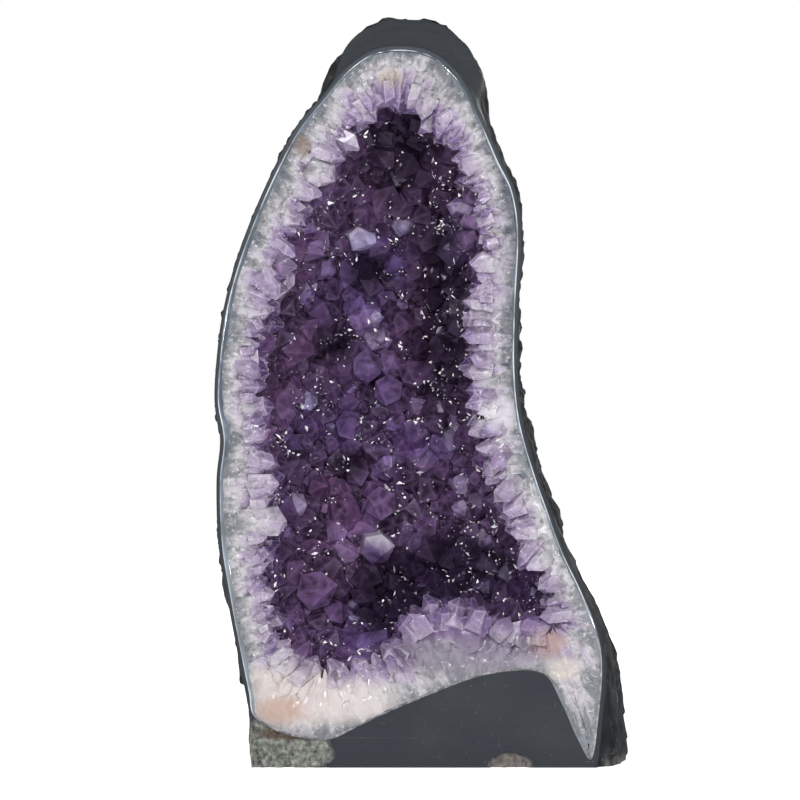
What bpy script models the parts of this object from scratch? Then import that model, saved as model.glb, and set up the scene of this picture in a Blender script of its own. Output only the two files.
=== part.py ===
"""An amethyst geode, sawn open down its front and stood on a flat sawn base.

Its pieces nest in one another. From the outside in they are the dark host rock, the thin agate
band, the quartz layer, the amethyst druse that lines the hollow, and the large amethyst points
that stand out of the druse, each in its own socket.
Metres, +Z up. The sawn face looks along -Y, and the base stands on z = 0.
"""

import math
import random

import bmesh
import bpy
import numpy as np
from mathutils import Matrix, Vector, noise
from mathutils.geometry import delaunay_2d_cdt

MM = 0.001

# Driving dimensions, in millimetres
ROCK_DEPTH = 150  # sawn face to the back of the rock
AGATE_DEPTH = 121  # sawn face to the back of the agate
AGATE_THICKNESS = 3.4
DRUSE_DEPTH = 104  # sawn face to the back of the druse
DRUSE_EDGE = 2.6  # the druse's thickness at the mouth, under its crystals
CAVITY_DEPTH = 95  # sawn face to the feet of the druse's crystals at the back
CAVITY_SLACK = 3.5  # from the clear mouth out to the feet of the crystals round it
GIRTH_DEPTH = 40  # where the rock is widest, behind the sawn face
EDGE_ROUND = 3.5  # the ground edge where the sawn face meets the rock's outside
GAP = 0.3  # between pieces that touch
FULLNESS = 2.3  # 2 is an ellipsoid's back, more is boxier
CENTRE = (-22, 186)  # x and z that every piece narrows towards at the back

# The agate's outer edge on the sawn face, x and z in millimetres: up the left side, over the top
# and down the right side, then the foot that reaches the ground, then the arch over the base.
RIM_SIDES = [
    (-84.5, 26), (-87, 38), (-90.5, 55), (-96, 84), (-100.5, 112), (-101.5, 143), (-99.5, 164),
    (-102.5, 184), (-101, 209), (-97.5, 232), (-90, 258), (-77.5, 289), (-62.5, 318), (-49, 335),
    (-37, 349), (-24, 357.5), (-8, 359), (5, 355.5), (17, 345), (26, 329), (37, 304), (44.5, 288),
    (47.5, 266), (46, 232), (45.5, 200), (48, 174), (54.5, 150), (62, 128.5), (69.5, 108),
    (79, 88), (87, 68), (89.5, 50),
]
RIM_FOOT = [(87.8, 27), (84.3, 5), (77.5, 14.5), (70.5, 30)]
SHORT_FOOT = [(87.5, 34), (82.5, 21), (74.5, 24), (68.5, 34)]  # where the quartz inside it ends
RIM_ARCH = [(61, 46.5), (45, 48.5), (27, 45.5), (8, 38.5), (-15, 29), (-33, 20.5), (-46, 14.5)]
RIM_SOLE = [(-60, 15), (-73, 18.5)]

# The clear mouth of the hollow on the sawn face
MOUTH = [
    (-72, 60), (-78, 80), (-81, 105), (-80, 135), (-82, 165), (-86, 198), (-82, 225), (-75, 250),
    (-65, 273), (-53, 297), (-41, 315), (-28, 331), (-14, 338), (-1, 332), (12, 319), (22, 298),
    (30, 272), (28, 240), (28, 205), (31, 178), (38, 150), (47, 124), (58, 101), (67, 79),
    (66, 69), (50, 69), (30, 74), (10, 76), (-5, 70), (-14, 57), (-32, 51), (-50, 46), (-63, 51),
]

# The rock's outer edge on the sawn face, and how far it swells past that edge at its girth. The
# last points lie under the ground, where the base is sawn off.
ROCK_EDGE = [
    (-86.5, 6, 2), (-87, 26, 2.5), (-92.5, 55, 3), (-98, 84, 3), (-102.5, 112, 2.5),
    (-103.5, 143, 2), (-101.7, 164, 1.5), (-104.5, 184, 1.5), (-103, 209, 2), (-99.5, 232, 2.5),
    (-92, 259, 3), (-79.5, 290, 4), (-64.5, 319.5, 5), (-50.5, 336.5, 8), (-38, 351, 12),
    (-24, 360, 18), (-8, 361.5, 20), (6, 358, 20), (19, 346.5, 15), (28, 330, 10), (39, 305, 5),
    (46.7, 288, 3), (49.7, 266, 3), (48.2, 232, 2.5), (47.7, 200, 2.5), (50.3, 174, 4.5),
    (56.7, 150, 4.5), (64.2, 128.5, 4), (71.7, 108, 4), (81, 88, 4), (89, 68, 6), (91.8, 50, 9.5),
    (90.3, 27, 14.5), (88, 4, 19), (84, -25, 18), (60, -52, 8), (0, -62, 4), (-50, -56, 4),
    (-80, -28, 3),
]

RIM_POINTS = 84
LAYER_POINTS = 50
ROCK_POINTS = 70
BACK_RINGS = 8
GIRTH_SHARES = (0.35, 0.7)  # rings between the ground edge and the girth
ROCK_ROUGHNESS = ((30, 3.4), (12, 1.8))  # span and height of the rock's lumps, large and small
ROCK_CALM = 60  # the lumps shrink within this distance of the pole
CUTTER_REACH = 25  # how far a cutter stands out of the sawn face

# The druse's crystals
DRUSE_SEED = 7
DRUSE_TRIES = 4200
CRYSTAL_RADIUS = (4.9, 8.6)
CRYSTAL_HEIGHT = (0.75, 1.1)  # of each point in the druse, in radii
CRYSTAL_LEAN = 0.35

# The large points, each in its own socket
POINT_COUNT = 52
POINT_WIDTH = 0.86  # share of the room its place in the druse gives it
POINT_STANDS_OUT = (0.35, 0.95)  # height of the six-sided shaft's end over the druse, in radii
POINT_ROOT = 3.2  # how deep it is set in the druse
POINT_TIP = 1.1  # height of the pointed end, in radii
POINT_LEAN = 0.22
POINT_MARGIN = 3  # least distance behind the sawn face

PAINTED_ROCK = ("painted_basalt", (0.035, 0.040, 0.046), 0.75)
AGATE = ("agate", (0.42, 0.47, 0.52), 0.22)
QUARTZ = ("quartz", (0.68, 0.62, 0.72), 0.30)
DRUSE = ("amethyst_druse", (0.12, 0.06, 0.21), 0.16)
AMETHYST = ("amethyst", (0.20, 0.10, 0.33), 0.10)


def material(name, colour, roughness):
    made = bpy.data.materials.new(name)
    made.use_nodes = True
    shader = made.node_tree.nodes["Principled BSDF"]
    shader.inputs["Base Color"].default_value = (*colour, 1)
    shader.inputs["Roughness"].default_value = roughness
    shader.inputs["Metallic"].default_value = 0
    return made


def closed_curve(points, count):
    """count points, evenly spaced, on a smooth closed curve through the given ones."""
    known = np.array(points, float)
    before, after = np.roll(known, 1, axis=0), np.roll(known, -1, axis=0)
    beyond = np.roll(known, -2, axis=0)
    fine = []
    for t in np.linspace(0, 1, 16, endpoint=False):
        fine.append(
            0.5 * (2 * known + (after - before) * t
                   + (2 * before - 5 * known + 4 * after - beyond) * t ** 2
                   + (3 * known - before - 3 * after + beyond) * t ** 3)
        )
    fine = np.stack(fine, axis=1).reshape(-1, known.shape[1])
    loop = np.vstack([fine, fine[:1]])
    along = np.concatenate([[0], np.cumsum(np.linalg.norm(np.diff(loop[:, :2], axis=0), axis=1))])
    wanted = np.linspace(0, along[-1], count, endpoint=False)
    return np.stack([np.interp(wanted, along, loop[:, k]) for k in range(known.shape[1])], axis=1)


def outward(outline):
    """The outward normal at each point of a closed outline that runs clockwise in x and z."""
    run = np.roll(outline[:, :2], -1, axis=0) - np.roll(outline[:, :2], 1, axis=0)
    normal = np.stack([-run[:, 1], run[:, 0]], axis=1)
    return normal / np.linalg.norm(normal, axis=1)[:, None]


def grown(outline, distance):
    return outline[:, :2] + outward(outline) * distance


def angles(count):
    """Angles from the sawn face (0) towards the pole (a right angle), closer where it's flatter."""
    return [(1 - (1 - i / count) ** 1.5) * math.pi / 2 for i in range(count)]


def ring(outline, depth):
    """The outline, in millimetres, as points in metres at that depth behind the sawn face."""
    y = (depth - ROCK_DEPTH / 2) * MM
    return [Vector((x * MM, y, z * MM)) for x, z in outline[:, :2]]


def rounded(outline, harmonics=2):
    """The plain egg (2) or ellipse (1) that an outline is a fuller drawing of."""
    waves = np.fft.fft(outline[:, 0] + 1j * outline[:, 1])
    waves[harmonics + 1:-harmonics] = 0
    egg = np.fft.ifft(waves)
    return np.stack([egg.real, egg.imag], axis=1)


def section(outline, angle):
    """The outline at an angle from the sawn face (0) to the pole (a right angle), and its depth
    as a share of the pole's. Before the sawn face the angle is less than 0 and the outline stays.
    """
    rise = math.sin(angle)
    shape = outline[:, :2] + (rounded(outline) - outline[:, :2]) * max(rise, 0)
    share = math.cos(max(angle, 0)) ** (2 / FULLNESS)
    return CENTRE + (shape - CENTRE) * share, math.copysign(abs(rise) ** (2 / FULLNESS), rise)


def bowl(outline, depth, reach=0):
    """Rings from the sawn face, or from reach in front of it, and the pole of a round bowl."""
    rings = [ring(outline, -reach)] if reach else []
    for angle in angles(BACK_RINGS):
        shape, back = section(outline, angle)
        rings.append(ring(shape, depth * back))
    return rings, ring(np.array([CENTRE]), depth)[0]


def mesh_object(name, corners, faces, finish=None):
    mesh = bpy.data.meshes.new(name)
    mesh.from_pydata(corners, [], faces)
    made = bpy.data.objects.new(name, mesh)
    bpy.context.scene.collection.objects.link(made)
    made.parent = bpy.data.objects["geode"]
    if finish:
        mesh.materials.append(finish)
    else:
        made.hide_render = True
        made.display_type = "WIRE"
    return made


def solid(name, rings, pole, finish=None):
    """One closed body: a flat cap on the first ring, walls between the rings, a fan at the pole."""
    count = len(rings[0])
    corners = [point for points in rings for point in points] + [pole]
    faces = [list(range(count))[::-1]]
    for r in range(len(rings) - 1):
        for i in range(count):
            j = (i + 1) % count
            near, far = r * count, (r + 1) * count
            faces += [[near + i, near + j, far + j], [near + i, far + j, far + i]]
    last = (len(rings) - 1) * count
    faces += [[last + i, last + (i + 1) % count, len(corners) - 1] for i in range(count)]
    return mesh_object(name, corners, faces, finish)


def cut(target, cutter):
    modifier = target.modifiers.new("less_" + cutter.name, "BOOLEAN")
    modifier.operation = "DIFFERENCE"
    modifier.solver = "EXACT"
    modifier.object = cutter


def rock_rings():
    """The rock's outside: a ground edge, a swell to the girth, then a rough bowl to the back."""
    edge = closed_curve(ROCK_EDGE, ROCK_POINTS)
    swell = edge[:, 2:]
    out = outward(edge)
    rings = [ring(edge[:, :2] - out, 0), ring(edge[:, :2] + out * 0.15 * swell, EDGE_ROUND)]
    for share in GIRTH_SHARES:
        rings.append(ring(edge[:, :2] + out * swell * math.sin(share * math.pi / 2),
                          EDGE_ROUND + share * (GIRTH_DEPTH - EDGE_ROUND)))
    girth = edge[:, :2] + out * swell
    for angle in angles(BACK_RINGS + 3):
        shape, back = section(girth, angle)
        rings.append(ring(shape, GIRTH_DEPTH + back * (ROCK_DEPTH - GIRTH_DEPTH)))
    middle = Vector((CENTRE[0], 0, CENTRE[1])) * MM
    for points in rings[2:]:
        for i, point in enumerate(points):
            lump = sum(noise.noise(point / (span * MM)) * high for span, high in ROCK_ROUGHNESS)
            lump *= min(1, math.hypot(point.x - middle.x, point.z - middle.z) / (ROCK_CALM * MM))
            points[i] = point + (point - middle).normalized() * lump * MM
    return rings, ring(np.array([CENTRE]), ROCK_DEPTH)[0]


def ground_block():
    """What the saw took off under z = 0."""
    wide, low = 300 * MM, 150 * MM
    corners = [Vector((x, y, z)) for z in (-low, 0) for x, y in
               ((-wide, -wide), (wide, -wide), (wide, wide), (-wide, wide))]
    sides = [[i, (i + 1) % 4, 4 + (i + 1) % 4, 4 + i] for i in range(4)]
    return mesh_object("ground_block", corners, [[3, 2, 1, 0], [4, 5, 6, 7], *sides])


def bed_spot(feet, along, back):
    """A spot of the druse's bed and the direction its crystals grow in there."""
    def at(a, b):
        step = (a % 1) * len(feet)
        i, part = int(step) % len(feet), step % 1
        shape, far = section(feet, min(b, 0.999) * math.pi / 2)
        flat = shape[i] * (1 - part) + shape[(i + 1) % len(feet)] * part
        return Vector((flat[0], far * CAVITY_DEPTH - ROCK_DEPTH / 2, flat[1])) * MM

    here = at(along, back)
    normal = (at(along + 0.01, back) - here).cross(at(along, back + 0.02) - here).normalized()
    inwards = Vector((CENTRE[0] * MM, here.y - 30 * MM, CENTRE[1] * MM)) - here
    return here, normal if normal.dot(inwards) > 0 else -normal


def crystal_places(feet, draw):
    """Where the druse's crystals grow: along, back, spot, direction and radius, largest first."""
    places = []
    small, large = CRYSTAL_RADIUS
    for attempt in range(DRUSE_TRIES):
        radius = large + (small - large) * min(1, 1.6 * attempt / DRUSE_TRIES)
        along, back = draw.random(), draw.uniform(-0.07, 1)
        if draw.random() > math.cos(back * math.pi / 2):
            continue
        spot, axis = bed_spot(feet, along, back)
        if all((spot - other[2]).length > (radius + other[4]) * MM for other in places):
            places.append((along, back, spot, axis, radius))
    return places


def leaning(axis, lean, draw):
    return (axis + Vector([draw.uniform(-1, 1) for _ in range(3)]) * lean).normalized()


def cavity(feet, places, with_points, draw):
    """The hollow as a solid. Its back is a relief of crystals that meet in valleys, with the feet
    of each crystal half-way to its neighbours, and a bare bed where a large point will stand."""
    border = ring(feet, -CUTTER_REACH)
    unrolled = grown(rounded(feet, 1), CAVITY_DEPTH)
    middle = unrolled.mean(axis=0)
    corners, flat_map = list(border), [Vector(spot) for spot in (unrolled - middle) * 1.25]
    for number, (along, back, spot, axis, radius) in enumerate(places):
        high = 0 if number in with_points else draw.uniform(*CRYSTAL_HEIGHT) * radius
        corners.append(spot + leaning(axis, CRYSTAL_LEAN, draw) * high * MM)
        flat_map.append(Vector((unrolled[int(along * len(feet))] - middle) * (1 - back)))
    feet_of = border + [place[2] for place in places]
    sides = {}
    for triangle in delaunay_2d_cdt(flat_map, [], [], 0, 1e-6)[2]:
        valley = len(corners)
        corners.append(sum((feet_of[k] for k in triangle), Vector()) / 3)
        for a, b in zip(triangle, triangle[1:] + triangle[:1]):
            sides.setdefault((min(a, b), max(a, b)), []).append(valley)
    faces = [list(range(len(border)))]
    for (a, b), valleys in sides.items():
        faces += [[a, *valleys], [b, *valleys]] if len(valleys) == 2 else [[a, b, *valleys]]
    made = mesh_object("cavity", corners, faces)
    work = bmesh.new()
    work.from_mesh(made.data)
    bmesh.ops.recalc_face_normals(work, faces=work.faces)
    work.to_mesh(made.data)
    work.free()
    return made


def crystal(centre, axis, radius, stands_out, turn, tip_shift, grow=0.0):
    """Corners and faces of a six-sided shaft with a pointed end, grown on every side by grow."""
    side = axis.orthogonal().normalized()
    side.rotate(Matrix.Rotation(turn, 3, axis))
    across = axis.cross(side)
    high = stands_out * radius
    corners = []
    for height in (-(POINT_ROOT + grow), high):
        for k in range(6):
            angle = k * math.pi / 3
            uneven = 1 + 0.07 * math.sin(2 * angle + turn * 3)
            spoke = side * math.cos(angle) + across * math.sin(angle)
            corners.append(centre + (spoke * (radius + grow * 1.3) * uneven + axis * height) * MM)
    tip = axis * (high + POINT_TIP * radius + 2 * grow) + side * tip_shift * radius
    corners.append(centre + tip * MM)
    faces = [[5, 4, 3, 2, 1, 0]]
    faces += [[k, (k + 1) % 6, 6 + (k + 1) % 6, 6 + k] for k in range(6)]
    faces += [[6 + k, 6 + (k + 1) % 6, 12] for k in range(6)]
    return corners, faces


def point_shapes(places, draw):
    """The measures of each large point, by the number of its place in the druse."""
    shapes = {}
    front = (POINT_MARGIN - ROCK_DEPTH / 2) * MM
    for number, (along, back, spot, axis, radius) in enumerate(places):
        radius *= POINT_WIDTH
        axis = leaning(axis, POINT_LEAN, draw)
        stands_out = draw.uniform(*POINT_STANDS_OUT)
        end = spot + axis * (stands_out + POINT_TIP) * radius * MM
        if len(shapes) < POINT_COUNT and min(spot.y, end.y) - radius * MM > front:
            turn, tip_shift = draw.uniform(0, math.pi / 3), draw.uniform(-0.2, 0.2)
            shapes[number] = (spot, axis, radius, stands_out, turn, tip_shift)
    return shapes


def join(parts):
    """Several (corners, faces) as one."""
    corners, faces = [], []
    for some, around in parts:
        faces += [[len(corners) + i for i in face] for face in around]
        corners += some
    return corners, faces


def centre_on_origin(geode, rock):
    """Stands the middle of the whole box over the origin."""
    bpy.context.view_layer.update()
    seen = rock.evaluated_get(bpy.context.evaluated_depsgraph_get())
    places = [seen.matrix_world @ v.co for v in seen.data.vertices]
    for k in (0, 1):
        geode.location[k] = -(min(p[k] for p in places) + max(p[k] for p in places)) / 2


def main():
    for old in list(bpy.data.objects):
        bpy.data.objects.remove(old)
    geode = bpy.data.objects.new("geode", None)
    bpy.context.scene.collection.objects.link(geode)
    draw = random.Random(DRUSE_SEED)
    finishes = {name: material(name, colour, roughness)
                for name, colour, roughness in (PAINTED_ROCK, AGATE, QUARTZ, DRUSE, AMETHYST)}

    rim = closed_curve(RIM_SIDES + RIM_FOOT + RIM_ARCH + RIM_SOLE, RIM_POINTS)
    rock = solid("host_rock", *rock_rings(), finishes["painted_basalt"])
    cut(rock, solid("rock_hollow", *bowl(rim, AGATE_DEPTH, CUTTER_REACH)))
    cut(rock, ground_block())

    agate_inner = AGATE_DEPTH - AGATE_THICKNESS
    quartz_rim = closed_curve(RIM_SIDES + SHORT_FOOT + RIM_ARCH + RIM_SOLE, LAYER_POINTS)
    quartz_edge = grown(quartz_rim, -AGATE_THICKNESS)
    agate = solid("agate_band", *bowl(grown(rim, -GAP), AGATE_DEPTH - GAP), finishes["agate"])
    cut(agate, solid("agate_hollow", *bowl(quartz_edge, agate_inner, CUTTER_REACH)))

    feet = closed_curve(MOUTH, LAYER_POINTS)
    feet = grown(feet, CAVITY_SLACK)
    druse_edge = grown(feet, DRUSE_EDGE)
    inner_edge = grown(quartz_edge, -GAP)
    quartz = solid("quartz_layer", *bowl(inner_edge, agate_inner - GAP), finishes["quartz"])
    cut(quartz, solid("quartz_hollow",
                      *bowl(grown(druse_edge, GAP), DRUSE_DEPTH + GAP, CUTTER_REACH)))

    places = crystal_places(feet, draw)
    shapes = point_shapes(places, draw)
    druse = solid("amethyst_druse", *bowl(druse_edge, DRUSE_DEPTH), finishes["amethyst_druse"])
    cut(druse, cavity(feet, places, shapes, draw))
    sockets = mesh_object("point_sockets", *join([crystal(*shape, grow=GAP)
                                                  for shape in shapes.values()]))
    cut(druse, sockets)
    cut(quartz, sockets)
    for number, shape in enumerate(shapes.values(), 1):
        mesh_object(f"amethyst_point_{number:02d}", *crystal(*shape), finishes["amethyst"])
    centre_on_origin(geode, rock)


main()
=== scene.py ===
"""An amethyst geode: a dark rock shell sawn open over a hollow of purple crystals."""

import math
import random

import bmesh
import bpy
import numpy as np
from mathutils import Matrix, Vector, noise
from mathutils.bvhtree import BVHTree
from mathutils.geometry import tessellate_polygon


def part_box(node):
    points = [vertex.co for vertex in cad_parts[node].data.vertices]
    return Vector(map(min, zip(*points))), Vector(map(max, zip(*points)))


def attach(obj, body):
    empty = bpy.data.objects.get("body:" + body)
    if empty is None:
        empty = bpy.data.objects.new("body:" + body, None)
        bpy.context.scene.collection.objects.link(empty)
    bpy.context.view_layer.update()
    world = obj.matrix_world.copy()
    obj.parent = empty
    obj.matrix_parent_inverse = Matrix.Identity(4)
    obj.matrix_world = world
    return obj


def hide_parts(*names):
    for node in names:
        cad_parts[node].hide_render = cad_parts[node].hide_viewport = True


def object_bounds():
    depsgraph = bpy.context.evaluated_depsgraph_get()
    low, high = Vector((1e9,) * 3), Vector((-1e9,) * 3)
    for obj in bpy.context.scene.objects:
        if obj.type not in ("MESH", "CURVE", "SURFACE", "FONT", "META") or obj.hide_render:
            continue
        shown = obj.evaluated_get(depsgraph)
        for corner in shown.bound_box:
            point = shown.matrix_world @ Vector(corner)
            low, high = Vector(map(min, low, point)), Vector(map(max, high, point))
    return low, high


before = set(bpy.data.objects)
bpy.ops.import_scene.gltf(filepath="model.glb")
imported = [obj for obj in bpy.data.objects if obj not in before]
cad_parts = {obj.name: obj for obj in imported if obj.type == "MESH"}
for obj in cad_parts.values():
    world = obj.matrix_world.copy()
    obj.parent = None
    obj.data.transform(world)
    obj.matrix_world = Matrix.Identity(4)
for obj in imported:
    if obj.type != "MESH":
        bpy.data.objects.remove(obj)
CAD_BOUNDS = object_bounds()

bl_info = {
    "name": "Amethyst geode",
    "version": (1, 0, 0),
    "blender": (4, 5, 0),
    "location": "View3D > Sidebar > Geode",
    "description": "Builds a sawn amethyst geode on a flat base",
    "category": "Add Mesh",
}

MM = 0.001
TOP = CAD_BOUNDS[1].z
AGATE_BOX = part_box("agate_band")
FRONT = AGATE_BOX[0].y
MIDDLE = (-22, 186)  # x and z in millimetres that the layers narrow towards at the back
FULLNESS = 2.3  # how square the layers' sections are: 2 would be an ellipse

# Depths behind the agate's front, in millimetres
ROCK_FACE = 0.9  # the rock's own sawn face
ROCK_DEPTH = 150  # the rock's back
CUP_DEPTH = 121  # the cup in the rock that holds the other layers
HOLLOW_DEPTH = 95  # the bed that the crystals grow on
LINING_DEPTH = 101  # the back of that bed
BED_GAP = 3.5  # how far outside the mouth's outline the bed runs
TURN = 300  # points round the bed

# Outlines on the sawn face, x and z in millimetres, clockwise as seen from in front
RIM_SIDES = [
    (-84.5, 26), (-87, 38), (-90.5, 55), (-96, 84), (-100.5, 112), (-101.5, 143), (-99.5, 164),
    (-102.5, 184), (-101, 209), (-97.5, 232), (-90, 258), (-77.5, 289), (-62.5, 318), (-49, 335),
    (-37, 349), (-24, 357.5), (-8, 359), (5, 355.5), (17, 345), (26, 329), (37, 304), (44.5, 288),
    (47.5, 266), (46, 232), (45.5, 200), (48, 174), (54.5, 150), (62, 128.5), (69.5, 108),
    (79, 88), (87, 68), (89.5, 50),
]
RIM_FOOT = [(87.8, 27), (84.3, 5), (77.5, 14.5), (70.5, 30)]
SHORT_FOOT = [(86.9, 30), (83.6, 14), (77, 19), (70, 32)]
RIM_ARCH = [(61, 46.5), (45, 48.5), (27, 45.5), (8, 38.5), (-15, 29), (-33, 20.5), (-46, 14.5)]
RIM_SOLE = [(-60, 15), (-73, 18.5)]
MOUTH = [
    (-72, 60), (-78, 80), (-81, 105), (-80, 135), (-82, 165), (-86, 198), (-82, 225), (-75, 250),
    (-65, 273), (-53, 297), (-41, 315), (-28, 331), (-14, 338), (-1, 332), (12, 319), (22, 298),
    (30, 272), (28, 240), (28, 205), (31, 178), (38, 150), (47, 124), (58, 101), (67, 79),
    (66, 69), (50, 69), (30, 74), (10, 76), (-5, 70), (-14, 57), (-32, 51), (-50, 46), (-63, 51),
]
# The rock's edge, and how far it swells past that edge further back
ROCK_EDGE = [
    (-86.5, 6, 2), (-87, 26, 2.5), (-92.5, 55, 3), (-98, 84, 3), (-102.5, 112, 2.5),
    (-103.5, 143, 2), (-101.7, 164, 1.5), (-104.5, 184, 1.5), (-103, 209, 2), (-99.5, 232, 2.5),
    (-92, 259, 3), (-79.5, 290, 3.5), (-64.5, 319.5, 3.5), (-50.5, 336.5, 5), (-38, 351, 10.5),
    (-24, 360, 18.5), (-8, 361.5, 20.5), (6, 358, 21.5), (19, 346.5, 15), (28, 330, 7.5),
    (39, 305, 5.5), (46.7, 288, 4), (49.7, 266, 3), (48.2, 232, 2.5), (47.7, 200, 2.5),
    (50.3, 174, 4.5), (56.7, 150, 4.5), (64.2, 128.5, 4), (71.7, 108, 4), (81, 88, 4),
    (89, 68, 6), (91.8, 50, 9.5), (90.3, 27, 14.5), (88, 4, 19), (84, -25, 18), (60, -52, 8),
    (0, -62, 4), (-50, -56, 4), (-80, -28, 3),
]
# Where the sawn face of the rock is broken: x, z, half width, half height, depth (millimetres)
# and softness
BROKEN_CORNER = [(-76, 8, 19, 17, 1.9, 0.3), (-57, 9, 11.5, 9, 1.5, 0.3)]
BASE_CHIP = (43.5, 1, 10.5, 6, 2.2, 0.1)
SHIFT = AGATE_BOX[0].x / MM + 102.2  # where the outlines' x = 0 stands in the frame


# Shapes


def curve_through(points, per_segment):
    """A smooth closed curve through the points, with so many steps from each to the next."""
    known = np.array(points, float)
    before, after = np.roll(known, 1, axis=0), np.roll(known, -1, axis=0)
    beyond = np.roll(known, -2, axis=0)
    steps = []
    for t in np.linspace(0, 1, per_segment, endpoint=False):
        steps.append(
            0.5 * (2 * known + (after - before) * t
                   + (2 * before - 5 * known + 4 * after - beyond) * t ** 2
                   + (3 * known - before - 3 * after + beyond) * t ** 3)
        )
    return np.stack(steps, axis=1).reshape(-1, known.shape[1])


def evenly(curve, count):
    """The closed curve again, as count evenly spaced points."""
    loop = np.vstack([curve, curve[:1]])
    along = np.concatenate([[0], np.cumsum(np.linalg.norm(np.diff(loop[:, :2], axis=0), axis=1))])
    wanted = np.linspace(0, along[-1], count, endpoint=False)
    return np.stack([np.interp(wanted, along, loop[:, k]) for k in range(loop.shape[1])], axis=1)


def outward(curve):
    """The direction out of the closed curve at each of its points."""
    run = np.roll(curve[:, :2], -1, axis=0) - np.roll(curve[:, :2], 1, axis=0)
    normal = np.stack([-run[:, 1], run[:, 0]], axis=1)
    return normal / np.maximum(np.linalg.norm(normal, axis=1), 1e-6)[:, None]


def grown(curve, distance):
    return curve[:, :2] + outward(curve) * distance


def rounded(curve, harmonics=2):
    """The smooth egg shape nearest to the curve."""
    waves = np.fft.fft(curve[:, 0] + 1j * curve[:, 1])
    waves[harmonics + 1:-harmonics] = 0
    egg = np.fft.ifft(waves)
    return np.stack([egg.real, egg.imag], axis=1)


def section(curve, angle):
    """The curve at an angle from the sawn face (0) to the pole (a right angle), and its depth."""
    rise = math.sin(angle)
    shape = curve[:, :2] + (rounded(curve) - curve[:, :2]) * rise
    share = math.cos(angle) ** (2 / FULLNESS)
    return MIDDLE + (shape - MIDDLE) * share, rise ** (2 / FULLNESS)


def angles(count):
    """Angles from the sawn face towards the pole, closer together near the pole."""
    return [(1 - (1 - i / count) ** 1.5) * math.pi / 2 for i in range(count)]


def placed(curve, depth):
    """Outline points in millimetres as places in the frame, at depths behind the sawn face."""
    out = np.empty((len(curve), 3))
    out[:, 0] = (curve[:, 0] + SHIFT) * MM
    out[:, 1] = FRONT + np.asarray(depth) * MM
    out[:, 2] = curve[:, 1] * MM
    return out


def one_place(x, z, depth):
    """Where one spot, in millimetres, stands in the frame."""
    return placed(np.array([[x, z]]), depth)[0].tolist()


def pole_at(depth):
    return one_place(*MIDDLE, depth)


def ring_faces(rings, count):
    """Quads between rings of count points each, facing away from what they run round."""
    r, i = np.meshgrid(np.arange(rings - 1), np.arange(count), indexing="ij")
    j = (i + 1) % count
    quads = np.stack([r * count + i, r * count + j, (r + 1) * count + j, (r + 1) * count + i],
                     axis=-1)
    return quads.reshape(-1, 4)


def hoop_faces(rings, count):
    """ring_faces turned round, with the last ring joined to the first."""
    last = (rings - 1) * count
    closing = [[last + (i + 1) % count, last + i, i, (i + 1) % count] for i in range(count)]
    return ring_faces(rings, count)[:, ::-1].tolist() + closing


def fan(first, count, pole, inward=False):
    """Triangles from a ring of count points, numbered from first, to its pole."""
    pairs = [(first + i, first + (i + 1) % count) for i in range(count)]
    return [[b, a, pole] if inward else [a, b, pole] for a, b in pairs]


def shown(name, mesh):
    """An object of this mesh, in the scene."""
    made = bpy.data.objects.new(name, mesh)
    bpy.context.scene.collection.objects.link(made)
    return made


def mesh_of(work, name):
    """The bmesh as a mesh, freed."""
    mesh = bpy.data.meshes.new(name)
    work.to_mesh(mesh)
    work.free()
    return mesh


def cut_off(work, place, side):
    """Cuts off what lies on that side of a plane and closes the cuts."""
    everything = work.verts[:] + work.edges[:] + work.faces[:]
    bmesh.ops.bisect_plane(work, geom=everything, plane_co=place, plane_no=side,
                           clear_outer=True)
    bmesh.ops.holes_fill(work, edges=[e for e in work.edges if e.is_boundary], sides=0)


def new_piece(name, places, faces, fields=(), smooth=True):
    """A mesh object with named values on its points."""
    mesh = bpy.data.meshes.new(name)
    mesh.from_pydata([tuple(p) for p in places], [], [tuple(int(k) for k in f) for f in faces])
    for field, values in dict(fields).items():
        values = np.asarray(values, np.float32)
        many = values.ndim == 2
        layer = mesh.attributes.new(field, "FLOAT_VECTOR" if many else "FLOAT", "POINT")
        layer.data.foreach_set("vector" if many else "value", values.reshape(-1))
    mesh.polygons.foreach_set("use_smooth", [smooth] * len(mesh.polygons))
    return shown(name, mesh)


def put_on(piece, finish, slot, *nodes):
    """Gives a piece its finish and its body, and hides the nodes it stands for; slot is not used."""
    piece.data.materials.clear()
    piece.data.materials.append(finish)
    piece.data.polygons.foreach_set("material_index", [0] * len(piece.data.polygons))
    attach(piece, "root")
    if nodes:
        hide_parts(*nodes)


def smoothstep(low, high, value):
    t = np.clip((np.asarray(value, float) - low) / (high - low), 0, 1)
    return t * t * (3 - 2 * t)


# Finishes


def node_in(tree, kind, links=(), **settings):
    """A new node. Settings are its inputs, with _ for a space, or its properties."""
    node = tree.nodes.new(kind)
    for key, value in settings.items():
        socket = key.replace("_", " ")
        if socket in node.inputs:
            node.inputs[socket].default_value = value
        else:
            setattr(node, key, value)
    for socket, (source, output) in dict(links).items():
        tree.links.new(source.outputs[output], node.inputs[socket])
    return node


def times(colour, share):
    """The colour made darker or brighter."""
    return tuple(share * c for c in colour)


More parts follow.
